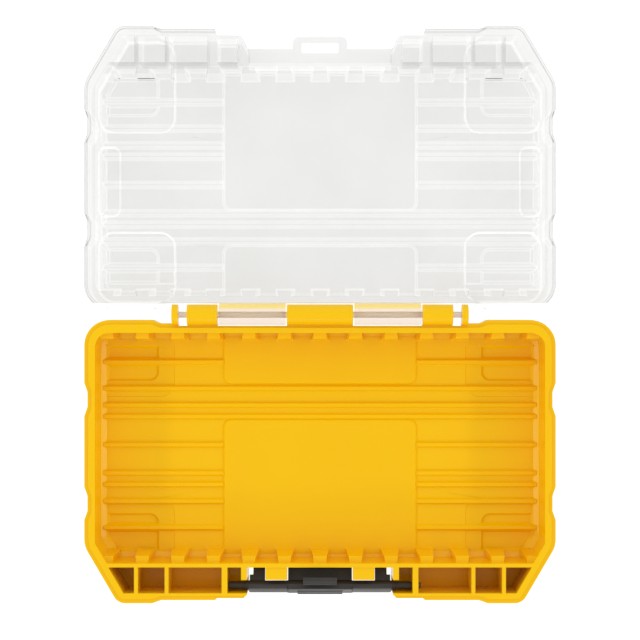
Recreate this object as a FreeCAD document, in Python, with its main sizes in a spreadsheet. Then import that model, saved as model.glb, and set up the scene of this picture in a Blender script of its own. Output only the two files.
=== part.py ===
import FreeCAD, Part
import math
import os
import re
import Sketcher
from FreeCAD import Placement, Rotation, Vector

# Small parts case, modelled lying open: the base towards -Y, the lid turned over towards +Y.
# X runs along the hinge, Z is up, the origin is on the table under the middle of the hinge.
# Both halves are drawn alike, with the front towards -Y; the lid is then turned half round.

# Driving dimensions in millimetres and degrees, distances "from hinge" measured towards the front
SIZES = (
    # Outline shared by both halves
    ("case_width", 236, "over the bumpers"),
    ("rear_edge", 2.7, "rear bumpers from hinge"),
    ("front_edge", 144.5, "front bumpers from hinge"),
    ("half_height", 29, "outer face to the parting plane, where the hinge axis lies"),
    ("rear_radius", 12.5, "rear corners"),
    ("cut_along_side", 28.6, "front corner cut"),
    ("cut_along_front", 16.8, "front corner cut"),
    ("cut_side_radius", 12, "where the cut meets the side"),
    ("cut_front_radius", 6.5, "where the cut meets the front"),
    ("bumper_step", 1.6, "bumpers stand out from the rim"),
    ("bumper_ramp", 4.5, "sloping end of a bumper"),
    ("rear_bumper", 34, "length along the rear from the side"),
    ("front_bumper", 34, "length along the front from the side"),
    ("rear_notch", 42.5, "rear side notch from hinge"),
    ("front_notch", 94.5, "front side notch from hinge"),
    ("notch_flat", 7.5, "length of a side notch"),
    # Rim
    ("flange_height", 6, "band round the rim"),
    ("flange_overhang", 1.6, "band over the wall between the bumpers"),
    ("ledge_width", 2.2, "outer step of the rim"),
    ("lip_height", 1.2, "step of the rim"),
    ("parting_gap", 0.3, "between the shut halves"),
    ("lip_gap", 0.3, "sideways, between lip and skirt"),
    # Walls and floor
    ("side_band", 5.5, "rim width at the sides"),
    ("rear_band", 6.5, "rim width at the rear"),
    ("front_band", 5.2, "rim width at the front"),
    ("front_wall_place", 124.4, "inner front wall from hinge"),
    ("inner_wall", 2, "inner front wall"),
    ("draft_angle", 0.5, "walls"),
    ("floor_thick", 2.2, "floor"),
    ("foot_height", 1.5, "feet under the floor"),
    ("edge_round", 3, "outer bottom edge"),
    ("floor_bevel", 2.7, "between wall and floor, along the floor"),
    ("bevel_rise", 1.7, "height of that bevel"),
    ("tub_radius", 7, "rear corners of the compartment"),
    # Front pockets
    ("pocket_rib", 2, "ribs between the pockets"),
    ("outer_rib", 26, "outer pocket rib from the side"),
    ("inner_rib", 41.3, "inner pocket rib from the side"),
    ("flank_wall", 2, "walls beside the lid's latch notch"),
    # Racks of dovetail teeth
    ("tooth_pitch", 17.85, "tooth spacing"),
    ("tooth_root", 8, "tooth width at the wall, at the floor"),
    ("tooth_tip", 9.6, "tooth width at its free end, at the floor"),
    ("front_tooth", 4.3, "front tooth length at the floor"),
    ("rear_tooth", 3.7, "rear tooth length at the floor"),
    ("tooth_drop", 3, "tooth tops under the parting plane"),
    ("tooth_draft", 3, "tooth flanks"),
    ("tooth_bury", 0.25, "tooth set into the wall, at its top"),
    # Floor relief
    ("relief_draft", 45, "edges of dishes and raised panels"),
    ("rib_height", 1.5, "floor ribs"),
    ("rib_width", 1.6, "floor ribs, at the top"),
    ("rib_draft", 30, "rib flanks"),
    ("rib_middle", 66.7, "middle rib from hinge"),
    ("rib_first", 14.5, "first pair from the middle rib"),
    ("rib_second", 20.4, "second pair from the middle rib"),
    ("rib_third", 29, "third pair from the middle rib"),
    ("rib_fourth", 42.5, "fourth pair from the middle rib"),
    ("panel_half", 49.9, "half width of the raised panels"),
    ("panel_height", 0.9, "raised panels"),
    ("panel_radius", 4.5, "panel corners"),
    ("rear_panel_end", 36, "rear panel from hinge"),
    ("main_panel_start", 53.3, "main panel from hinge"),
    ("foot_reach", 43.4, "corner foot from the side"),
    ("rear_foot_end", 42.3, "rear foot from hinge"),
    ("front_foot_start", 93.8, "front foot from hinge"),
    ("foot_inset", 4, "feet behind the outline"),
    ("foot_radius", 8, "foot corners"),
    ("dish_margin", 7.9, "dish in the floor inside the foot's edge"),
    ("dish_depth", 1.3, "dish over each foot"),
    ("dish_radius", 5, "dish corners"),
    ("sink_depth", 0.3, "floor round the dishes, inside the feet's outline"),
    ("side_foot_reach", 15, "middle side foot from the side"),
    # Hinge
    ("barrel_radius", 5.1, "hinge barrels"),
    ("rod_radius", 1.5, "hinge rod"),
    ("rod_fit", 0.05, "running clearance of the lid on the rod"),
    ("relief_gap", 0.5, "rim behind the other half's barrels"),
    ("middle_barrel", 33, "base barrel in the middle"),
    ("lid_knuckle", 33.3, "each wide lid knuckle"),
    ("side_barrel", 15.2, "each outer base barrel"),
    ("ear_thick", 1.6, "thin lid ear"),
    ("lug_thick", 3.2, "base end lug"),
    ("knuckle_gap", 0.7, "between neighbouring barrels"),
    ("ear_gap", 1.4, "on both sides of an ear"),
    ("rod_inset", 0.4, "rod end inside the lug"),
    # Latch bay of the base
    ("bay_half", 46.3, "middle to the axle ribs"),
    ("axle_rib", 2.9, "axle ribs"),
    ("gate_half", 36.5, "middle to the end of the front opening"),
    ("guard_thick", 3, "guard ribs at the ends of the opening"),
    ("guard_depth", 6.3, "guard ribs from the inner front wall"),
    ("bay_floor", 6, "bay floor above the main floor"),
    ("tip_bevel", 1.8, "bevelled wall ends at the opening"),
    ("frame_half", 51.5, "middle to the end of the set-back front wall"),
    ("frame_setback", 1, "front wall beside the opening"),
    ("shelf_start", 16.4, "middle to a shelf"),
    ("shelf_length", 10.9, "shelf along the wall"),
    ("shelf_depth", 6.3, "shelf from the inner front wall"),
    ("shelf_thick", 2.5, "shelf"),
    ("shelf_drop", 0.4, "shelf under the parting plane"),
    # Latch axle
    ("axle_place", 136.4, "axle from hinge"),
    ("axle_drop", 7, "axle under the parting plane"),
    ("axle_radius", 1.5, "axle"),
    ("axle_fit", 0.05, "running clearance of the latch on the axle"),
    ("axle_poke", 1.5, "axle end outside its right-hand rib"),
    ("axle_inset", 0.5, "axle end inside its left-hand rib"),
    # Lid notch and tab
    ("notch_half", 36, "half width at the ledge"),
    ("notch_flare", 3.5, "widening towards the front"),
    ("notch_shoulder", 12, "set-back rim beside the notch"),
    ("shoulder_depth", 3, "how far that rim is set back"),
    ("shoulder_radius", 2.5, "corners of that rim"),
    ("ledge_front", 133.1, "ledge across the notch from hinge"),
    ("tab_thick", 2.4, "ledge and tab"),
    ("tab_half", 13.7, "half width of the tab"),
    ("tab_front", 139.2, "tab end from hinge"),
    ("tab_radius", 3, "tab corners"),
    ("slot_front", 136, "front edge of the tab's slot from hinge"),
    ("slot_width", 5, "tab slot"),
    ("slot_length", 18.2, "tab slot"),
    # Latch, its own sizes measured from the axle
    ("latch_tilt", 16, "released latch leans back from the hooked position"),
    ("bar_half", 37.5, "half length of the bar on the axle"),
    ("bar_radius", 2.5, "bar on the axle"),
    ("neck_radius", 2.1, "necks between the bar and the axle ribs"),
    ("neck_gap", 0.3, "neck ends clear of the axle ribs"),
    ("plate_half", 36, "half width of the handle plate"),
    ("plate_front", 2.3, "plate face in front of the axle"),
    ("plate_thick", 2.2, "handle plate"),
    ("plate_top", 4.6, "above the axle"),
    ("plate_bottom", 9.5, "below the axle"),
    ("cap_half", 16.2, "half width of the cap over the bar"),
    ("cap_back", 0.2, "cap behind the axle"),
    ("cap_proud", 0.3, "cap in front of the plate"),
    ("grip_half", 11.4, "half width of the grip"),
    ("grip_proud", 0.9, "grip in front of the plate"),
    ("groove_depth", 0.6, "grip grooves"),
    ("groove_pitch", 2.6, "grip grooves"),
    ("hook_half", 8.4, "half width of the hook"),
    ("hook_stem", 1.8, "hook stem"),
    ("hook_slack", 0.6, "stem behind the slot's front edge"),
    ("hook_catch", 1.6, "nose over the tab's front bar"),
    ("hook_gap", 0.2, "nose above the tab"),
    ("nose_height", 1.7, "nose"),
    ("web_half", 16.1, "half width of the web behind the axle"),
    ("web_reach", 9.2, "web behind the axle"),
    ("web_thick", 2, "web and stop arms"),
    ("arm_start", 27.7, "middle to a stop arm"),
    ("arm_length", 5.9, "stop arm along the bar"),
    ("arm_reach", 9.2, "stop arm behind the axle"),
    ("arm_foot_length", 7.7, "wider foot of an arm along the bar"),
    ("arm_foot_reach", 5.4, "wider foot of an arm behind the axle"),
)

# Levels and lines that several features share
CUT_LENGTH = "sqrt(cut_along_side ^ 2 + cut_along_front ^ 2)"
LEDGE_TOP = "(half_height - lip_height / 2 - parting_gap / 2)"
LIP_TOP = "(half_height + lip_height / 2 - parting_gap / 2)"
FLOOR_TOP = "(foot_height + floor_thick)"
TUB_HALF = "(case_width / 2 - side_band)"
TUB_REAR = "(rear_edge + rear_band)"
POCKET_REAR = "(front_wall_place + inner_wall)"
POCKET_FRONT = "(front_edge - front_band)"
WALL_LEAN = f"(({LEDGE_TOP} - {FLOOR_TOP}) * tan(draft_angle))"
FLOOR_HALF = f"({TUB_HALF} - {WALL_LEAN} - floor_bevel)"
FLOOR_REAR = f"({TUB_REAR} + {WALL_LEAN} + floor_bevel)"
FLOOR_FRONT = f"(front_wall_place - {WALL_LEAN} - floor_bevel)"
RIBS_ALL = "rib_middle - rib_first", "rib_middle - rib_second", "rib_middle - rib_third"
RIBS_SIDE = (
    "rib_middle - rib_fourth",
    "rib_middle",
    "rib_middle + rib_first",
    "rib_middle + rib_second",
    "rib_middle + rib_third",
    "rib_middle + rib_fourth",
)

# Hinge stations, from the middle outwards
KNUCKLE_START = "(middle_barrel / 2 + knuckle_gap)"
KNUCKLE_END = f"({KNUCKLE_START} + lid_knuckle)"
BARREL_START = f"({KNUCKLE_END} + knuckle_gap)"
BARREL_END = f"({BARREL_START} + side_barrel)"
EAR_START = f"({BARREL_END} + ear_gap)"
EAR_END = f"({EAR_START} + ear_thick)"
LUG_START = f"({EAR_END} + ear_gap)"
LUG_END = f"({LUG_START} + lug_thick)"

doc = FreeCAD.newDocument("PartsCase")
sheet = doc.addObject("Spreadsheet::Sheet", "Sizes")
for row, (name, value, note) in enumerate(SIZES, start=1):
    sheet.set(f"A{row}", name)
    sheet.set(f"B{row}", str(value))
    sheet.set(f"C{row}", note)
    sheet.setAlias(f"B{row}", name)
doc.recompute()


def sized(expression):
    # Every name with an underscore is a cell of the sheet
    return re.sub(r"[a-z]+(?:_[a-z]+)+", r"Sizes.\g<0>", expression)


def number(expression):
    return float(doc.getObject("Sizes").evalExpression(sized(expression)))


def new_body(name):
    body = doc.addObject("PartDesign::Body", name)
    body.Label = name
    return body


def new_sketch(body, name, plane="XY_Plane", offset="0"):
    sketch = body.newObject("Sketcher::SketchObject", f"{body.Name}_{name}_sketch")
    support = next(item for item in body.Origin.OriginFeatures if item.Role == plane)
    sketch.AttachmentSupport = [(support, "")]
    sketch.MapMode = "FlatFace"
    sketch.setExpression("AttachmentOffset.Base.z", sized(offset))
    return sketch


def constrain(sketch, relations, dimensions):
    # Geometric relations as they are, dimensions (kind, places, expression) bound to the sheet
    first = sketch.ConstraintCount + len(relations)
    values = [Sketcher.Constraint(kind, *where, number(text)) for kind, where, text in dimensions]
    sketch.addConstraint(relations + values)
    for index, (kind, where, text) in enumerate(dimensions, start=first):
        sketch.setExpression(f"Constraints[{index}]", sized(text))


def add_loop(sketch, corners):
    # Closed outline through the corners (x, y, optional rounding radius)
    points = [Vector(number(corner[0]), number(corner[1]), 0) for corner in corners]
    radii = [number(corner[2]) if len(corner) > 2 else 0 for corner in corners]
    arrive, depart, arcs = [], [], []
    for index, point in enumerate(points):
        back = (points[index - 1] - point).normalize()
        ahead = (points[(index + 1) % len(points)] - point).normalize()
        half_angle = back.getAngle(ahead) / 2
        reach = radii[index] / math.tan(half_angle)
        arrive.append(point + back * reach)
        depart.append(point + ahead * reach)
        if not radii[index]:
            arcs.append(None)
            continue
        centre = point + (back + ahead).normalize() * (radii[index] / math.sin(half_angle))
        left_turn = ahead.cross(back).z > 0
        first, last = (arrive[-1], depart[-1]) if left_turn else (depart[-1], arrive[-1])
        start, end = (math.atan2(spot.y - centre.y, spot.x - centre.x) for spot in (first, last))
        circle = Part.Circle(centre, Vector(0, 0, 1), radii[index])
        arcs.append((Part.ArcOfCircle(circle, start, end), left_turn))
    count = len(points)
    lines = sketch.addGeometry([
        Part.LineSegment(depart[index], arrive[(index + 1) % count]) for index in range(count)
    ])
    relations, dimensions = [], []
    for index, corner in enumerate(corners):
        before, after = lines[index - 1], lines[index]
        anchor = (after, 1)
        if arcs[index] is None:
            relations.append(Sketcher.Constraint("Coincident", before, 2, after, 1))
        else:
            curve, left_turn = arcs[index]
            arc = sketch.addGeometry(curve)
            vertex = sketch.addGeometry(Part.Point(points[index]), True)
            near, far = (1, 2) if left_turn else (2, 1)
            relations += [
                Sketcher.Constraint("Tangent", before, 2, arc, near),
                Sketcher.Constraint("Tangent", after, 1, arc, far),
                Sketcher.Constraint("PointOnObject", vertex, 1, before),
                Sketcher.Constraint("PointOnObject", vertex, 1, after),
            ]
            dimensions.append(("Radius", (arc,), corner[2]))
            anchor = (vertex, 1)
        dimensions.append(("DistanceX", (-1, 1, *anchor), corner[0]))
        dimensions.append(("DistanceY", (-1, 1, *anchor), corner[1]))
    constrain(sketch, relations, dimensions)


def mirrored(corners):
    # The same corners on the other side of the middle plane, in reverse order
    return [(f"-({corner[0]})", *corner[1:]) for corner in reversed(corners)]


def add_twins(sketch, corners):
    add_loop(sketch, corners)
    add_loop(sketch, mirrored(corners))


def box_corners(left, right, rear, front, *radius):
    # Rectangle between two x values and two distances from the hinge
    return [
        (left, f"-({rear})", *radius),
        (left, f"-({front})", *radius),
        (right, f"-({front})", *radius),
        (right, f"-({rear})", *radius),
    ]


def add_circle(sketch, across, up, radius):
    centre = Vector(number(across), number(up), 0)
    circle = sketch.addGeometry(Part.Circle(centre, Vector(0, 0, 1), number(radius)))
    constrain(sketch, [], [
        ("DistanceX", (-1, 1, circle, 3), across),
        ("DistanceY", (-1, 1, circle, 3), up),
        ("Radius", (circle,), radius),
    ])


def extrude(body, kind, sketch, length, taper="0", down=False, both_sides=False):
    feature = body.newObject(f"PartDesign::{kind}", sketch.Name.replace("_sketch", ""))
    feature.Profile = sketch
    feature.setExpression("Length", sized(length))
    feature.setExpression("TaperAngle", sized(taper))
    if both_sides:
        feature.SideType = "Symmetric"
    feature.Reversed = down
    body.Tip = feature
    return feature


def pad(body, sketch, length, **options):
    return extrude(body, "Pad", sketch, length, **options)


def pocket(body, sketch, depth, **options):
    # Cuts must take material away, or they point the wrong way
    doc.recompute()
    before = body.Shape.Volume
    feature = extrude(body, "Pocket", sketch, depth, **options)
    doc.recompute()
    if body.Shape.Volume >= before:
        raise RuntimeError(f"{feature.Name} cuts nothing")
    return feature


def dress(body, kind, name, size, chosen):
    # Fillet or chamfer on the edges of the body that the test accepts
    doc.recompute()
    base = body.Tip
    edges = [f"Edge{place}" for place, edge in enumerate(base.Shape.Edges, start=1) if chosen(edge)]
    feature = body.newObject(f"PartDesign::{kind}", f"{body.Name}_{name}")
    feature.Base = (base, edges)
    feature.setExpression("Radius" if kind == "Fillet" else "Size", sized(size))
    body.Tip = feature


def lies_at(level):
    height = number(level)

    def chosen(edge):
        return abs(edge.BoundBox.ZMin - height) < 1e-4 and abs(edge.BoundBox.ZMax - height) < 1e-4

    return chosen


def cut_side_end(inset):
    # Where the front corner cut, set in by an inset, meets the side
    return f"front_edge - cut_along_side - ({inset}) * ({CUT_LENGTH} - cut_along_side) / cut_along_front"


def cut_at(inset, distance):
    # Half width of that set-in corner cut at a distance from the hinge
    along = f"cut_along_front * ({distance} - front_edge + cut_along_side)"
    return f"case_width / 2 - (({inset}) * {CUT_LENGTH} + {along}) / cut_along_side"


def outline(inset, valley):
    # Case outline set in from the bumpers, with valleys of a given depth between the bumpers
    side = f"case_width / 2 - ({inset})"
    rear = f"rear_edge + {inset}"
    front = f"front_edge - ({inset})"
    right = [
        ("case_width / 2 - rear_bumper - bumper_ramp", f"-({rear} + {valley})"),
        ("case_width / 2 - rear_bumper", f"-({rear})"),
        (side, f"-({rear})", f"rear_radius - ({inset})"),
    ]
    for notch in ("rear_notch", "front_notch"):
        right += [
            (side, f"-({notch} - notch_flat / 2 - bumper_ramp)"),
            (f"{side} - ({valley})", f"-({notch} - notch_flat / 2)"),
            (f"{side} - ({valley})", f"-({notch} + notch_flat / 2)"),
            (side, f"-({notch} + notch_flat / 2 + bumper_ramp)"),
        ]
    right += [
        (side, f"-({cut_side_end(inset)})", f"cut_side_radius - ({inset})"),
        (cut_at(inset, f"({front})"), f"-({front})", f"cut_front_radius - ({inset})"),
        ("case_width / 2 - front_bumper", f"-({front})"),
        ("case_width / 2 - front_bumper - bumper_ramp", f"-({front} - ({valley}))"),
    ]
    return list(reversed(right)) + [(f"-({corner[0]})", *corner[1:]) for corner in right]


def make_shell(body):
    # Outer block: drafted walls with the flush bumpers, rounded below, and the band round the rim
    wall = new_sketch(body, "wall", offset=LEDGE_TOP)
    add_loop(wall, outline("0", "bumper_step + flange_overhang"))
    pad(body, wall, f"{LEDGE_TOP} - foot_height", taper="-draft_angle", down=True)
    dress(body, "Fillet", "edge", "edge_round", lies_at("foot_height"))
    band = new_sketch(body, "band", offset=LEDGE_TOP)
    add_loop(band, outline("0", "bumper_step"))
    pad(body, band, "flange_height", down=True)


def make_lip(body):
    lip = new_sketch(body, "lip", offset=LEDGE_TOP)
    add_loop(lip, outline("ledge_width", "bumper_step"))
    pad(body, lip, "lip_height")


def make_skirt(body):
    # The lid's counterpart of the lip: a raised outer step
    rise = new_sketch(body, "skirt", offset=LEDGE_TOP)
    add_loop(rise, outline("0", "bumper_step"))
    add_loop(rise, outline("ledge_width - lip_gap", "bumper_step"))
    pad(body, rise, "lip_height")


def make_tub(body):
    # Main compartment with its cut front corners, drafted down to a bevel round the floor
    mouth = new_sketch(body, "tub", offset=LIP_TOP)
    right = [
        (TUB_HALF, f"-{TUB_REAR}", "tub_radius"),
        (TUB_HALF, f"-({cut_side_end('side_band')})"),
        (cut_at("side_band", "front_wall_place"), "-front_wall_place"),
    ]
    add_loop(mouth, list(reversed(right)) + [(f"-({corner[0]})", *corner[1:]) for corner in right])
    pocket(body, mouth, f"{LIP_TOP} - {FLOOR_TOP}", taper="-draft_angle")
    dress(body, "Chamfer", "bevel", "bevel_rise", lies_at(FLOOR_TOP))
    body.Tip.ChamferType = "Two distances"
    body.Tip.setExpression("Size2", sized("floor_bevel"))


def make_pockets(body, first_start):
    # Three pockets on each side between the inner front wall and the front
    cells = new_sketch(body, "pockets", offset=LIP_TOP)
    inner = "case_width / 2 - inner_rib"
    outer = "case_width / 2 - outer_rib"
    half = "pocket_rib / 2"
    add_twins(cells, box_corners(first_start, f"{inner} - {half}", POCKET_REAR, POCKET_FRONT))
    add_twins(cells, box_corners(f"{inner} + {half}", f"{outer} - {half}", POCKET_REAR, POCKET_FRONT))
    add_twins(cells, [
        (f"{outer} + {half}", f"-{POCKET_REAR}"),
        (f"{outer} + {half}", f"-{POCKET_FRONT}"),
        (cut_at("front_band", POCKET_FRONT), f"-{POCKET_FRONT}"),
        (cut_at("front_band", POCKET_REAR), f"-{POCKET_REAR}"),
    ])
    pocket(body, cells, f"{LIP_TOP} - {FLOOR_TOP}")


def make_feet(body):
    # Six flat feet that carry the bumpers round onto the bottom
    feet = new_sketch(body, "feet", offset="foot_height")
    side = "case_width / 2 - foot_inset"
    reach = "case_width / 2 - foot_reach"
    add_twins(feet, box_corners(reach, side, "rear_edge + foot_inset", "rear_foot_end", "foot_radius"))
    add_twins(feet, [
        (reach, "-front_foot_start", "foot_radius"),
        (reach, "-(front_edge - foot_inset)", "foot_radius"),
        (cut_at("foot_inset", "(front_edge - foot_inset)"), "-(front_edge - foot_inset)"),
        (side, f"-({cut_side_end('foot_inset')})"),
        (side, "-front_foot_start", "foot_radius"),
    ])
    start = "rear_notch + notch_flat / 2 + bumper_ramp"
    end = "front_notch - notch_flat / 2 - bumper_ramp"
    add_twins(feet, box_corners("case_width / 2 - side_foot_reach", side, start, end, "foot_radius / 2"))
    pad(body, feet, "foot_height", down=True)


def sink_corners(body, name, margin, radius, depth):
    # The floor's four corners over the feet, set in from the feet's outline by a margin
    corners = new_sketch(body, name, offset=FLOOR_TOP)
    reach = f"case_width / 2 - foot_reach + {margin}"
    rear_end = f"rear_foot_end - {margin}"
    front_start = f"front_foot_start + {margin}"
    add_twins(corners, [
        (reach, f"-({FLOOR_REAR} + rear_tooth)"),
        (reach, f"-({rear_end})", radius),
        (FLOOR_HALF, f"-({rear_end})"),
        (FLOOR_HALF, f"-({FLOOR_REAR} + rear_tooth)"),
    ])
    add_twins(corners, [
        (reach, f"-({front_start})", radius),
        (reach, f"-{FLOOR_FRONT}"),
        (f"{cut_at('side_band + floor_bevel', FLOOR_FRONT)} - {WALL_LEAN}", f"-{FLOOR_FRONT}"),
        (FLOOR_HALF, f"-({cut_side_end('side_band + floor_bevel')} - {WALL_LEAN})"),
        (FLOOR_HALF, f"-({front_start})"),
    ])
    pocket(body, corners, depth, taper="-relief_draft")


def make_floor(body):
    # Dishes over the corner feet, raised panels in the middle and ribs between
    sink_corners(body, "sinks", "0", "foot_radius", "sink_depth")
    sink_corners(body, "dishes", "dish_margin", "dish_radius", "dish_depth")
    panels = new_sketch(body, "panels", offset=FLOOR_TOP)
    add_loop(panels, [
        ("-panel_half", f"-({TUB_REAR} - floor_bevel)"),
        ("-panel_half", "-rear_panel_end", "panel_radius"),
        ("panel_half", "-rear_panel_end", "panel_radius"),
        ("panel_half", f"-({TUB_REAR} - floor_bevel)"),
    ])
    add_loop(panels, [
        ("-panel_half", "-main_panel_start", "panel_radius"),
        ("-panel_half", f"-({FLOOR_FRONT} + floor_bevel)"),
        ("panel_half", f"-({FLOOR_FRONT} + floor_bevel)"),
        ("panel_half", "-main_panel_start", "panel_radius"),
    ])
    pad(body, panels, "panel_height", taper="-relief_draft")
    ribs = new_sketch(body, "ribs", offset=f"{FLOOR_TOP} - dish_depth")
    flank = "(dish_depth + rib_height) * tan(rib_draft)"
    tip = f"({FLOOR_HALF} + rib_height + {flank})"
    half = f"(rib_width / 2 + {flank})"
    root = f"panel_half - {flank}"
    for place in RIBS_ALL:
        add_loop(ribs, box_corners(f"-{tip}", tip, f"{place} - {half}", f"{place} + {half}"))
    for place in RIBS_SIDE:
        add_twins(ribs, box_corners(root, tip, f"{place} - {half}", f"{place} + {half}"))
    pad(body, ribs, "dish_depth + rib_height", taper="-rib_draft")


def make_racks(body):
    # Rows of dovetail teeth, wider at their free ends, along the rear and the inner front wall
    count_half = f"floor(({cut_at('0', 'front_wall_place')} - tooth_tip / 2) / tooth_pitch)"
    height = f"(half_height - tooth_drop - {FLOOR_TOP})"
    root = f"({height} * tan(tooth_draft) + tooth_bury)"
    rows = (
        ("rear_rack", f"{TUB_REAR} - {root}", f"{TUB_REAR} + {WALL_LEAN} + rear_tooth"),
        ("front_rack", f"front_wall_place + {root}", f"front_wall_place - {WALL_LEAN} - front_tooth"),
    )
    for name, buried, free in rows:
        tooth = new_sketch(body, name, offset=FLOOR_TOP)
        middle = f"-{count_half} * tooth_pitch"
        corners = [
            (f"{middle} - tooth_root / 2", f"-({buried})"),
            (f"{middle} - tooth_tip / 2", f"-({free})"),
            (f"{middle} + tooth_tip / 2", f"-({free})"),
            (f"{middle} + tooth_root / 2", f"-({buried})"),
        ]
        add_loop(tooth, corners)
        first = pad(body, tooth, height, taper="-tooth_draft")
        row = body.newObject("PartDesign::LinearPattern", f"{body.Name}_{name}_row")
        row.Originals = [first]
        row.Direction = (tooth, ["H_Axis"])
        row.setExpression("Length", sized(f"2 * {count_half} * tooth_pitch"))
        row.setExpression("Occurrences", sized(f"2 * {count_half} + 1"))
        body.Tip = row


def make_hinge(body, end, gaps, bore):
    # One long barrel on an arm behind the rim, parted where the other half's barrels go
    barrel = new_sketch(body, "barrel", plane="YZ_Plane")
    add_circle(barrel, "0", "half_height", "barrel_radius")
    pad(body, barrel, f"2 * {end}", both_sides=True)
    arm = new_sketch(body, "arm", offset="half_height - barrel_radius")
    add_loop(arm, box_corners(f"-{end}", end, "0", "rear_edge + bumper_step + flange_overhang + 1"))
    pad(body, arm, f"{LEDGE_TOP} - half_height + barrel_radius")
    parting = new_sketch(body, "hinge_gaps", offset="half_height + 2 * barrel_radius")
    for start, stop in gaps:
        corners = box_corners(start, stop, "-2 * barrel_radius", "barrel_radius + relief_gap")
        if start.startswith("-"):
            add_loop(parting, corners)
        else:
            add_twins(parting, corners)
    pocket(body, parting, "4 * barrel_radius")
    hole = new_sketch(body, "rod_hole", plane="YZ_Plane")
    add_circle(hole, "0", "half_height", bore)
    pocket(body, hole, f"2 * {end} + 2 * lug_thick", both_sides=True)


def make_base():
    body = new_body("base_tub")
    make_shell(body)
    make_lip(body)
    make_tub(body)
    make_pockets(body, "bay_half + axle_rib")
    # Latch bay: closed cells at the ends, an opening through to the table between the guard ribs
    bay = new_sketch(body, "bay", offset=LIP_TOP)
    guard_front = f"{POCKET_REAR} + guard_depth"
    right = [
        ("gate_half", f"-{POCKET_REAR}"),
        ("gate_half", f"-({guard_front})"),
        ("gate_half + guard_thick", f"-({guard_front})"),
        ("gate_half + guard_thick", f"-{POCKET_REAR}"),
        ("bay_half", f"-{POCKET_REAR}"),
        ("bay_half", f"-{POCKET_FRONT}"),
    ]
    add_loop(bay, right + mirrored(right))
    pocket(body, bay, f"{LIP_TOP} - {FLOOR_TOP} - bay_floor")
    gate = new_sketch(body, "gate", offset=LIP_TOP)
    tip = "front_edge - bumper_step - frame_setback"
    right = [
        ("gate_half", f"-{POCKET_REAR}"),
        ("gate_half", f"-({tip} - tip_bevel)"),
        ("gate_half + tip_bevel", f"-({tip})"),
        ("frame_half", f"-({tip})"),
        ("frame_half + 2 * frame_setback", f"-({tip} + 2 * frame_setback)"),
    ]
    add_loop(gate, right + mirrored(right))
    pocket(body, gate, f"2 * {LIP_TOP}")
    shelf = new_sketch(body, "shelves", offset="half_height - shelf_drop")
    shelf_end = "shelf_start + shelf_length"
    shelf_front = f"{POCKET_REAR} + shelf_depth"
    add_twins(shelf, box_corners("shelf_start", shelf_end, f"{POCKET_REAR} - inner_wall / 2", shelf_front))
    pad(body, shelf, "shelf_thick", down=True)
    axle_hole = new_sketch(body, "axle_hole", plane="YZ_Plane")
    add_circle(axle_hole, "-axle_place", "half_height - axle_drop", "axle_radius")
    pocket(body, axle_hole, "2 * (bay_half + 2 * axle_rib)", both_sides=True)
    gaps = (
        ("middle_barrel / 2", BARREL_START),
        (BARREL_END, LUG_START),
    )
    make_hinge(body, LUG_END, gaps, "rod_radius")
    make_feet(body)
    make_floor(body)
    make_racks(body)
    return body


def make_lid():
    body = new_body("lid")
    make_shell(body)
    make_skirt(body)
    make_tub(body)
    shoulder_end = "notch_half + notch_flare + notch_shoulder"
    make_pockets(body, f"{shoulder_end} + shoulder_depth + flank_wall")
    # Notch for the latch with set-back rims beside it
    shoulder = "front_edge - bumper_step - shoulder_depth"
    notch = new_sketch(body, "notch", offset=f"2 * {LIP_TOP}")
    right = [
        ("notch_half", f"-{POCKET_REAR}"),
        ("notch_half", "-ledge_front"),
        ("notch_half + notch_flare", f"-({shoulder})", "shoulder_radius"),
        (shoulder_end, f"-({shoulder})"),
        (f"{shoulder_end} + shoulder_depth", "-(front_edge + shoulder_depth)"),
    ]
    add_loop(notch, right + mirrored(right))
    pocket(body, notch, f"3 * {LIP_TOP}")
    flank = new_sketch(body, "flanks", offset=LIP_TOP)
    flank_start = "notch_half + notch_flare + flank_wall"
    add_twins(flank, box_corners(flank_start, shoulder_end, POCKET_REAR, f"{shoulder} - flank_wall"))
    pocket(body, flank, f"{LIP_TOP} - {FLOOR_TOP}")
    # Ledge across the notch with the slotted tab that the latch hooks through
    tab = new_sketch(body, "tab", offset=LEDGE_TOP)
    wide = "notch_half + flank_wall / 2"
    right = [
        (wide, f"-({POCKET_REAR} - inner_wall / 2)"),
        (wide, "-ledge_front"),
        ("tab_half", "-ledge_front"),
        ("tab_half", "-tab_front", "tab_radius"),
    ]
    add_loop(tab, right + mirrored(right))
    slot_half = "slot_length / 2"
    add_loop(tab, box_corners(f"-{slot_half}", slot_half, "slot_front - slot_width", "slot_front"))
    pad(body, tab, "tab_thick", down=True)
    gaps = (
        (f"-{KNUCKLE_START}", KNUCKLE_START),
        (KNUCKLE_END, EAR_START),
        (EAR_END, f"{LUG_END} + knuckle_gap"),
    )
    make_hinge(body, EAR_END, gaps, "rod_radius + rod_fit")
    make_feet(body)
    make_floor(body)
    make_racks(body)
    body.Placement = Placement(Vector(0, 0, 0), Rotation(Vector(0, 0, 1), 180))
    return body


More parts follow.
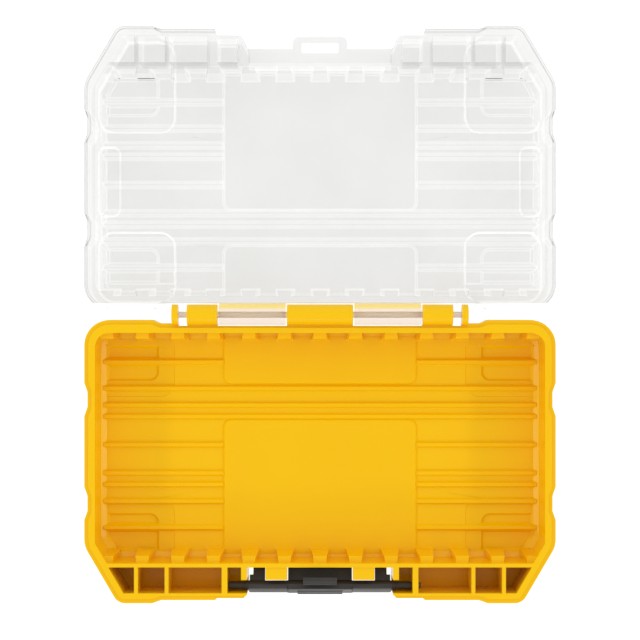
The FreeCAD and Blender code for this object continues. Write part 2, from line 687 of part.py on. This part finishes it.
def make_latch():
    # Drawn hooked, with the axle along X through its origin and the front towards -Y
    body = new_body("latch")
    bar = new_sketch(body, "bar", plane="YZ_Plane")
    add_circle(bar, "0", "0", "bar_radius")
    pad(body, bar, "2 * bar_half", both_sides=True)
    necks = new_sketch(body, "necks", plane="YZ_Plane")
    add_circle(necks, "0", "0", "neck_radius")
    pad(body, necks, "2 * (bay_half - neck_gap)", both_sides=True)
    plate = new_sketch(body, "plate", plane="YZ_Plane")
    plate_back = "plate_front - plate_thick"
    add_loop(plate, [
        ("-plate_front", "-plate_bottom"),
        (f"-({plate_back})", "-plate_bottom"),
        (f"-({plate_back})", "plate_top"),
        ("-plate_front", "plate_top", "plate_thick / 2"),
    ])
    pad(body, plate, "2 * plate_half", both_sides=True)
    cap = new_sketch(body, "cap", plane="YZ_Plane")
    cap_face = "-(plate_front + cap_proud)"
    plate_core = "-plate_front + plate_thick / 2"
    add_loop(cap, [
        (cap_face, "-plate_bottom"),
        (plate_core, "-plate_bottom"),
        (plate_core, "0"),
        ("cap_back", "0"),
        ("cap_back", "plate_top"),
        (cap_face, "plate_top", "plate_thick / 4"),
    ])
    pad(body, cap, "2 * cap_half", both_sides=True)
    grip = new_sketch(body, "grip", plane="YZ_Plane")
    grip_face = "-(plate_front + grip_proud)"
    add_loop(grip, [
        (grip_face, "-plate_bottom"),
        (plate_core, "-plate_bottom"),
        (plate_core, "0"),
        (cap_face, "0"),
        (grip_face, "-groove_pitch / 2"),
    ])
    pad(body, grip, "2 * grip_half", both_sides=True)
    hook = new_sketch(body, "hook", plane="YZ_Plane")
    stem_front = "slot_front - hook_slack - axle_place"
    nose_tip = "slot_front + hook_catch - axle_place"
    nose_base = f"axle_drop + half_height - {LEDGE_TOP} + tab_thick + hook_gap"
    add_loop(hook, [
        (f"-({stem_front})", "0"),
        (f"-({stem_front} - hook_stem)", "0"),
        (f"-({stem_front} - hook_stem * 2 / 3)", f"{nose_base} + nose_height"),
        (f"-({stem_front} + hook_slack)", f"{nose_base} + nose_height"),
        (f"-({nose_tip})", f"{nose_base} + nose_height / 3"),
        (f"-({nose_tip})", nose_base),
        (f"-({stem_front})", nose_base),
    ])
    pad(body, hook, "2 * hook_half", both_sides=True)
    web = new_sketch(body, "web", plane="YZ_Plane")
    add_loop(web, [
        ("0", "0"),
        ("0", "-web_thick"),
        ("web_reach", "-web_thick"),
        ("web_reach", "0"),
    ])
    pad(body, web, "2 * web_half", both_sides=True)
    arms = new_sketch(body, "arms", offset="-web_thick / 2")
    add_twins(arms, box_corners("arm_start", "arm_start + arm_length", "-arm_reach", "0"))
    pad(body, arms, "web_thick")
    feet = new_sketch(body, "arm_feet", offset="-web_thick / 2")
    add_twins(feet, box_corners("arm_start", "arm_start + arm_foot_length", "-arm_foot_reach", "0"))
    pad(body, feet, "web_thick")
    groove = new_sketch(body, "grooves", plane="YZ_Plane")
    add_loop(groove, [
        (grip_face, "-(plate_bottom - groove_pitch / 2)"),
        (f"{grip_face} + groove_depth", "-(plate_bottom - groove_pitch)"),
        (grip_face, "-(plate_bottom - groove_pitch * 3 / 2)"),
    ])
    first = pocket(body, groove, "2 * grip_half", both_sides=True)
    row = body.newObject("PartDesign::LinearPattern", "latch_groove_row")
    row.Originals = [first]
    row.Direction = (groove, ["V_Axis"])
    count = "floor((plate_bottom - groove_pitch) / groove_pitch)"
    row.setExpression("Length", sized(f"({count} - 1) * groove_pitch"))
    row.setExpression("Occurrences", sized(count))
    body.Tip = row
    hole = new_sketch(body, "axle_hole", plane="YZ_Plane")
    add_circle(hole, "0", "0", "axle_radius + axle_fit")
    pocket(body, hole, "2 * bay_half", both_sides=True)
    body.Placement = Placement(Vector(0, 0, 0), Rotation(Vector(-1, 0, 0), number("latch_tilt")))
    body.setExpression("Placement.Base.y", sized("-axle_place"))
    body.setExpression("Placement.Base.z", sized("half_height - axle_drop"))
    body.setExpression("Placement.Rotation.Angle", sized("latch_tilt"))
    return body


def make_rod(name, radius, start, end, place, height):
    # Round rod along X
    rod = doc.addObject("Part::Cylinder", name)
    rod.Label = name
    rod.Placement = Placement(Vector(0, 0, 0), Rotation(Vector(0, 1, 0), 90))
    rod.setExpression("Radius", sized(radius))
    rod.setExpression("Height", sized(f"{end} - ({start})"))
    rod.setExpression("Placement.Base.x", sized(start))
    rod.setExpression("Placement.Base.y", sized(place))
    rod.setExpression("Placement.Base.z", sized(height))
    return rod


rod_end = f"({LUG_END} - rod_inset)"
rib_face = "(bay_half + axle_rib)"
pieces = [
    make_base(),
    make_lid(),
    make_latch(),
    make_rod("hinge_rod", "rod_radius", f"-{rod_end}", rod_end, "0", "half_height"),
    make_rod("latch_axle", "axle_radius", f"-({rib_face} - axle_inset)", f"{rib_face} + axle_poke",
             "-axle_place", "half_height - axle_drop"),
]
doc.recompute()

for item in doc.Objects:
    if {"Invalid", "Error"} & set(item.State):
        raise RuntimeError(f"{item.Name} failed: {item.State}")
for piece in pieces:
    if piece.Shape.isNull() or not piece.Shape.isValid():
        raise RuntimeError(f"{piece.Label} has no valid shape")

os.makedirs("parts", exist_ok=True)
for piece in pieces:
    piece.Shape.exportStep(f"parts/{piece.Label}.step")
    print(piece.Label, len(piece.Shape.Solids), round(piece.Shape.Volume))
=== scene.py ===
import math

import bpy
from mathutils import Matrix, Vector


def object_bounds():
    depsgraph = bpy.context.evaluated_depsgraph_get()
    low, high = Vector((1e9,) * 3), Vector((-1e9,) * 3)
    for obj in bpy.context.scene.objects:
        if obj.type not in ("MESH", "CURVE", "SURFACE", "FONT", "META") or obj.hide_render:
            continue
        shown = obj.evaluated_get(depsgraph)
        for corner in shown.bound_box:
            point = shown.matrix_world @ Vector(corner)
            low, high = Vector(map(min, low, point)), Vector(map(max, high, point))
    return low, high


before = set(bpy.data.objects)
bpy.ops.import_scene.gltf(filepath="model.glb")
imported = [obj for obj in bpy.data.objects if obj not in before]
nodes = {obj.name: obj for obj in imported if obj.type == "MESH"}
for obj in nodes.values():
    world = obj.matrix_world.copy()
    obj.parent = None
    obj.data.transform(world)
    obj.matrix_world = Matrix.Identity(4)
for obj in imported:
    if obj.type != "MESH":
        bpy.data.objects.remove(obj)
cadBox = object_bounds()
print("frame loaded:", sorted(nodes))

# Lengths are in metres, angles in degrees and colours in linear light.
# A noise is given by its scale, its detail and, where it runs in streaks, its stretch.
noiseSpan = (0.3, 0.7)  # nearly all noise values lie in here
edgeSamples = 6
seamGap = 2e-6
roundingSteps = 2


def startMaterial(name):
    material = bpy.data.materials.new(name)
    material.use_nodes = True
    tree = material.node_tree
    tree.nodes.clear()
    output = tree.nodes.new("ShaderNodeOutputMaterial")
    return material, tree, output.inputs["Surface"]


def startPrincipled(name):
    material, tree, surface = startMaterial(name)
    shader = tree.nodes.new("ShaderNodeBsdfPrincipled")
    tree.links.new(shader.outputs["BSDF"], surface)
    return material, tree, shader


def addNoise(tree, scale, detail, stretch=(1, 1, 1)):
    place = tree.nodes.new("ShaderNodeTexCoord")
    mapping = tree.nodes.new("ShaderNodeMapping")
    mapping.inputs["Scale"].default_value = stretch
    noise = tree.nodes.new("ShaderNodeTexNoise")
    noise.inputs["Scale"].default_value = scale
    noise.inputs["Detail"].default_value = detail
    tree.links.new(place.outputs["Object"], mapping.inputs["Vector"])
    tree.links.new(mapping.outputs["Vector"], noise.inputs["Vector"])
    return noise.outputs["Fac"]


def addMath(tree, operation, *values):  # each value is a number or another node's output
    step = tree.nodes.new("ShaderNodeMath")
    step.operation = operation
    for socket, value in zip(step.inputs, values):
        if isinstance(value, (int, float)):
            socket.default_value = value
        else:
            tree.links.new(value, socket)
    return step.outputs["Value"]


def addRange(tree, value, source, target=(0, 1), shape="LINEAR"):  # never leaves the target span
    spread = tree.nodes.new("ShaderNodeMapRange")
    spread.interpolation_type = shape
    spread.inputs["From Min"].default_value, spread.inputs["From Max"].default_value = source
    spread.inputs["To Min"].default_value, spread.inputs["To Max"].default_value = target
    tree.links.new(value, spread.inputs["Value"])
    return spread.outputs["Result"]


def mixTints(tree, factor, first, second):  # each tint is a colour or another node's output
    mix = tree.nodes.new("ShaderNodeMix")
    mix.data_type = "RGBA"
    tree.links.new(factor, mix.inputs["Factor"])
    for name, tint in (("A", first), ("B", second)):
        if isinstance(tint, tuple):
            mix.inputs[name].default_value = (*tint, 1)
        else:
            tree.links.new(tint, mix.inputs[name])
    return mix.outputs["Result"]


def addBump(tree, height, depth):
    bump = tree.nodes.new("ShaderNodeBump")
    bump.inputs["Strength"].default_value = 1
    bump.inputs["Distance"].default_value = depth
    tree.links.new(height, bump.inputs["Height"])
    return bump.outputs["Normal"]


def edgeMask(tree, reach, strength, bend=(0.98, 0.75)):
    bevel = tree.nodes.new("ShaderNodeBevel")  # rounded normal against the true one finds edges
    bevel.samples = edgeSamples
    bevel.inputs["Radius"].default_value = reach
    flat = tree.nodes.new("ShaderNodeNewGeometry")
    compare = tree.nodes.new("ShaderNodeVectorMath")
    compare.operation = "DOT_PRODUCT"
    tree.links.new(bevel.outputs["Normal"], compare.inputs[0])
    tree.links.new(flat.outputs["Normal"], compare.inputs[1])
    return addRange(tree, compare.outputs["Value"], bend, (0, strength))


def softenEdges(node, width, sharpFrom):
    weld = node.modifiers.new("joined seams", "WELD")
    weld.merge_threshold = seamGap
    bevel = node.modifiers.new("rounded edges", "BEVEL")
    bevel.width = width
    bevel.segments = roundingSteps
    bevel.limit_method = "ANGLE"
    bevel.angle_limit = math.radians(sharpFrom)
    bevel.use_clamp_overlap = False
    normals = node.modifiers.new("even normals", "WEIGHTED_NORMAL")
    normals.keep_sharp = True


def dress(name, material, look):
    node = nodes[name]
    node.data.materials.clear()
    node.data.materials.append(material)
    softenEdges(node, look["edgeWidth"], look["sharpFrom"])


# Base tub, opaque yellow
baseLook = {
    "yellow": (0.98, 0.585, 0.0008),
    "deeper": (0.965, 0.56, 0.0008),
    # painted highlight mixed with real scuffing: the paler yellow that edges take
    "paleEdge": (0.97, 0.61, 0.02),
    "roughness": (0.14, 0.2),
    "specular": 0.2,
    "clouds": (14, 4),
    "smears": (60, 5, (1, 3, 1)),
    "grain": (1400, 2),
    "grainDepth": 0.000012,
    "paleEdgeReach": 0.0005,
    "paleEdgeStrength": 0.25,
    "edgeWidth": 0.00018,
    "sharpFrom": 50,
}


def makeBaseLook(look):
    material, tree, shader = startPrincipled("yellow_plastic")
    clouds = addNoise(tree, *look["clouds"])
    grain = addNoise(tree, *look["grain"])
    smears = addNoise(tree, *look["smears"])
    # edges turn paler: partly real scuffing, partly a painted highlight along the edges
    paleEdges = edgeMask(tree, look["paleEdgeReach"], look["paleEdgeStrength"])
    tint = mixTints(tree, addRange(tree, clouds, noiseSpan), look["yellow"], look["deeper"])
    tint = mixTints(tree, paleEdges, tint, look["paleEdge"])
    tree.links.new(tint, shader.inputs["Base Color"])
    tree.links.new(addRange(tree, smears, noiseSpan, look["roughness"]), shader.inputs["Roughness"])
    tree.links.new(addBump(tree, grain, look["grainDepth"]), shader.inputs["Normal"])
    shader.inputs["Specular IOR Level"].default_value = look["specular"]
    dress("base_tub", material, look)


makeBaseLook(baseLook)
print("base tub dressed")


# Lid, clear with a faint haze, plus painted light: a painted sheen lightens steep faces, painted
# white highlights run along low edges, a painted dark line runs round the rim, and the hinge
# knuckles carry a painted refraction tint
lidLook = {
    "clear": (0.765, 0.765, 0.755),
    "hazy": (0.73, 0.73, 0.716),
    # painted highlight: white along low edges, also given to the ears
    "edges": (1, 1, 1),
    "edgeZone": (0.024, 0.018),
    "edgeReach": 0.0014,
    "edgeStrength": 1,
    "edgeBend": (0.998, 0.95),
    # painted sheen: the lighter tint on steep faces
    "walls": (0.86, 0.86, 0.855),
    "wallSlope": (0.75, 0.3),
    # painted shade: dark line round the rim's edge
    "rimShade": (0.45, 0.45, 0.45),
    "rimShadeZone": (0.0287, 0.0291),
    "hingeZone": (0.0062, 0.0052),
    "knuckle": (0.86, 0.77, 0.69),  # painted refraction: cream, with the base's yellow gathered along the rear as if seen through the clear hinge
    "knuckleRear": (0.88, 0.70, 0.24),
    "knuckleTurn": (0.0022, 0.0036),
    "earZone": (0.058, 0.062),
    "roughness": (0.03, 0.09),
    "ior": 1.001,
    "coat": 0.4,
    "coatRoughness": 0.06,
    "haze": (22, 4),
    "flow": (35, 2, (1, 2.5, 1)),
    "flowDepth": 0.00004,
    "edgeWidth": 0.00018,
    "sharpFrom": 50,
}


def makeLidLook(look):
    material, tree, shader = startPrincipled("clear_plastic")
    haze = addNoise(tree, *look["haze"])
    flow = addNoise(tree, *look["flow"])
    place = tree.nodes.new("ShaderNodeTexCoord")
    spot = tree.nodes.new("ShaderNodeSeparateXYZ")
    facing = tree.nodes.new("ShaderNodeSeparateXYZ")
    tree.links.new(place.outputs["Object"], spot.inputs["Vector"])
    tree.links.new(place.outputs["Normal"], facing.inputs["Vector"])

    # painted sheen: steep faces turn lighter
    steep = addRange(tree, addMath(tree, "ABSOLUTE", facing.outputs["Z"]), look["wallSlope"])
    tint = mixTints(tree, addRange(tree, haze, noiseSpan), look["clear"], look["hazy"])
    tint = mixTints(tree, steep, tint, look["walls"])
    edge = edgeMask(tree, look["edgeReach"], look["edgeStrength"], look["edgeBend"])
    # painted white highlights along low edges and a painted dark line along the rim's edge
    for colour, zone in (("edges", "edgeZone"), ("rimShade", "rimShadeZone")):
        within = addRange(tree, spot.outputs["Z"], look[zone])
        tint = mixTints(tree, addMath(tree, "MULTIPLY", edge, within), tint, look[colour])

    # painted refraction on the hinge knuckles: cream, yellow along the rear, and the ears painted
    # white
    turn = addRange(tree, spot.outputs["Y"], look["knuckleTurn"])
    ears = addRange(tree, addMath(tree, "ABSOLUTE", spot.outputs["X"]), look["earZone"])
    knuckle = mixTints(tree, turn, look["knuckle"], look["knuckleRear"])
    knuckle = mixTints(tree, ears, knuckle, look["edges"])
    tint = mixTints(tree, addRange(tree, spot.outputs["Y"], look["hingeZone"]), tint, knuckle)

    tree.links.new(tint, shader.inputs["Base Color"])
    tree.links.new(addRange(tree, haze, noiseSpan, look["roughness"]), shader.inputs["Roughness"])
    tree.links.new(addBump(tree, flow, look["flowDepth"]), shader.inputs["Normal"])
    shader.inputs["Transmission Weight"].default_value = 1
    shader.inputs["IOR"].default_value = look["ior"]
    shader.inputs["Coat Weight"].default_value = look["coat"]
    shader.inputs["Coat Roughness"].default_value = look["coatRoughness"]
    dress("lid", material, look)


makeLidLook(lidLook)
print("lid dressed")


# Latch, black with a fine spark-eroded grain
latchLook = {
    "black": (0.022, 0.018, 0.015),
    "greyer": (0.034, 0.030, 0.026),
    "paleEdge": (0.12, 0.12, 0.115),
    "roughness": (0.42, 0.56),
    "clouds": (60, 4),
    "grain": (2400, 3),
    "grainDepth": 0.00003,
    "paleEdgeReach": 0.0005,
    "paleEdgeStrength": 0.5,
    "edgeWidth": 0.0003,
    "sharpFrom": 32,
}


def makeLatchLook(look):
    material, tree, shader = startPrincipled("black_plastic")
    clouds = addNoise(tree, *look["clouds"])
    grain = addNoise(tree, *look["grain"])
    paleEdges = edgeMask(tree, look["paleEdgeReach"], look["paleEdgeStrength"])
    tint = mixTints(tree, addRange(tree, clouds, noiseSpan), look["black"], look["greyer"])
    tint = mixTints(tree, paleEdges, tint, look["paleEdge"])
    tree.links.new(tint, shader.inputs["Base Color"])
    tree.links.new(addRange(tree, clouds, noiseSpan, look["roughness"]), shader.inputs["Roughness"])
    tree.links.new(addBump(tree, grain, look["grainDepth"]), shader.inputs["Normal"])
    dress("latch", material, look)


makeLatchLook(latchLook)
print("latch dressed")


# Latch axle, dark drawn steel
axleLook = {
    "metal": (0.16, 0.155, 0.15),
    "dull": (0.09, 0.088, 0.085),
    "roughness": (0.3, 0.5),
    "drawn": (300, 4, (0.04, 4, 4)),  # drawing marks run along the rod
    "drawnDepth": 0.00001,
    "spots": (180, 5),
    "edgeWidth": 0.0003,
    "sharpFrom": 32,
}


def makeAxleLook(look):
    material, tree, shader = startPrincipled("latch_axle_steel")
    drawn = addNoise(tree, *look["drawn"])
    spots = addNoise(tree, *look["spots"])
    tint = mixTints(tree, addRange(tree, spots, noiseSpan), look["metal"], look["dull"])
    tree.links.new(tint, shader.inputs["Base Color"])
    tree.links.new(addRange(tree, drawn, noiseSpan, look["roughness"]), shader.inputs["Roughness"])
    tree.links.new(addBump(tree, drawn, look["drawnDepth"]), shader.inputs["Normal"])
    shader.inputs["Metallic"].default_value = 1
    dress("latch_axle", material, look)


makeAxleLook(axleLook)
print("latch axle dressed")


# Hinge rod, natural nylon
pinLook = {
    "white": (0.97, 0.95, 0.91),
    "creamy": (0.95, 0.92, 0.86),
    "roughness": (0.3, 0.45),
    "streaks": (260, 4, (0.05, 3, 3)),  # extrusion streaks run along the rod
    "streakDepth": 0.000008,
    "subsurface": 0.3,
    "subsurfaceRadius": (0.002, 0.0015, 0.001),
    "edgeWidth": 0.0003,
    "sharpFrom": 32,
}


def makePinLook(look):
    material, tree, shader = startPrincipled("natural_nylon")
    streaks = addNoise(tree, *look["streaks"])
    tint = mixTints(tree, addRange(tree, streaks, noiseSpan), look["white"], look["creamy"])
    tree.links.new(tint, shader.inputs["Base Color"])
    tree.links.new(addRange(tree, streaks, noiseSpan, look["roughness"]), shader.inputs["Roughness"])
    tree.links.new(addBump(tree, streaks, look["streakDepth"]), shader.inputs["Normal"])
    shader.inputs["Subsurface Weight"].default_value = look["subsurface"]
    shader.inputs["Subsurface Radius"].default_value = look["subsurfaceRadius"]
    dress("hinge_rod", material, look)


makePinLook(pinLook)
print("hinge rod dressed")


# Studio: pale floor, soft light, camera straight above
studio = {
    "floorSize": 6,
    "floorWhite": 0.3,
    "floorDrop": 0.0002,
    "floorGlow": 0.95,
    "backdropLight": 1,
    "wallLight": 1.0,
    "wallTop": 0.5,
    "ceilingLight": 0.72,
    "ceilingStart": 0.75,
    "frontLean": 0.15,  # the front wall reaches higher than the rear one
    "boxSize": (1.4, 0.12),
    "boxAim": (0, 0, 0.02),
    "boxes": {  # place and power
        "left": ((-1.1, 0, 0.75), 2.1),
        "right": ((1.1, 0, 0.75), 2.1),
        "rear": ((0, 1.1, 0.75), 0.9),
        "front": ((0, -1.1, 0.75), 0.9),
    },
    "cameraAim": (0, -0.002675),
    "cameraHeight": 0.929,
    "viewWidth": 0.32,
    "viewPlane": 0.029,
}


def seenDirectly(tree):  # by the camera, also through or mirrored in the part
    path = tree.nodes.new("ShaderNodeLightPath")
    seen = path.outputs["Is Camera Ray"]
    for other in ("Is Glossy Ray", "Is Transmission Ray"):
        seen = addMath(tree, "MAXIMUM", seen, path.outputs[other])
    return seen


def makeFloor(look):
    height = cadBox[0][2] - look["floorDrop"]
    bpy.ops.mesh.primitive_plane_add(size=look["floorSize"], location=(0, 0, height))
    floor = bpy.context.object
    floor.name = "floor"
    material, tree, surface = startMaterial("white_table")
    paint = tree.nodes.new("ShaderNodeBsdfDiffuse")
    paint.inputs["Color"].default_value = (look["floorWhite"],) * 3 + (1,)
    glow = tree.nodes.new("ShaderNodeEmission")
    strength = addMath(tree, "MULTIPLY", seenDirectly(tree), look["floorGlow"])
    tree.links.new(strength, glow.inputs["Strength"])
    both = tree.nodes.new("ShaderNodeAddShader")
    tree.links.new(paint.outputs["BSDF"], both.inputs[0])
    tree.links.new(glow.outputs["Emission"], both.inputs[1])
    tree.links.new(both.outputs["Shader"], surface)
    floor.data.materials.append(material)


def makeWorld(look):
    world = bpy.data.worlds.new("studio")
    bpy.context.scene.world = world
    world.use_nodes = True
    tree = world.node_tree
    tree.nodes.clear()
    output = tree.nodes.new("ShaderNodeOutputWorld")
    place = tree.nodes.new("ShaderNodeTexCoord")
    split = tree.nodes.new("ShaderNodeSeparateXYZ")
    tree.links.new(place.outputs["Generated"], split.inputs["Vector"])
    height = addMath(tree, "MULTIPLY_ADD", split.outputs["Y"], look["frontLean"], split.outputs["Z"])
    heights = (look["wallTop"], look["ceilingStart"])
    lights = (look["wallLight"], look["ceilingLight"])
    room = addRange(tree, height, heights, lights, "SMOOTHSTEP")
    path = tree.nodes.new("ShaderNodeLightPath")
    seen = tree.nodes.new("ShaderNodeMix")  # the camera sees a plain backdrop instead of the room
    seen.inputs["B"].default_value = look["backdropLight"]
    tree.links.new(path.outputs["Is Camera Ray"], seen.inputs["Factor"])
    tree.links.new(room, seen.inputs["A"])
    ground = tree.nodes.new("ShaderNodeBackground")
    ground.inputs["Color"].default_value = (1, 1, 1, 1)
    tree.links.new(seen.outputs["Result"], ground.inputs["Strength"])
    tree.links.new(ground.outputs["Background"], output.inputs["Surface"])


def addSoftbox(name, place, power, look):
    lamp = bpy.data.lights.new(name, "AREA")
    lamp.shape = "RECTANGLE"
    lamp.size, lamp.size_y = look["boxSize"]
    lamp.energy = power
    box = bpy.data.objects.new(name, lamp)
    bpy.context.scene.collection.objects.link(box)
    box.location = place
    away = [place[axis] - look["boxAim"][axis] for axis in range(3)]
    flatReach = math.hypot(away[0], away[1])
    box.rotation_euler = (math.atan2(flatReach, away[2]), 0, math.atan2(away[0], -away[1]))
    box.visible_camera = False


def makeCamera(look):
    lens = bpy.data.cameras.new("camera")
    distance = look["cameraHeight"] - look["viewPlane"]
    lens.sensor_fit = "HORIZONTAL"
    lens.angle = 2 * math.atan(look["viewWidth"] / 2 / distance)
    camera = bpy.data.objects.new("camera", lens)
    bpy.context.scene.collection.objects.link(camera)
    camera.location = (*look["cameraAim"], look["cameraHeight"])
    bpy.context.scene.camera = camera


makeFloor(studio)
makeWorld(studio)
for side, (place, power) in studio["boxes"].items():
    addSoftbox("softbox_" + side, place, power, studio)
makeCamera(studio)
bpy.context.scene.view_settings.view_transform = "Standard"
print("studio ready")
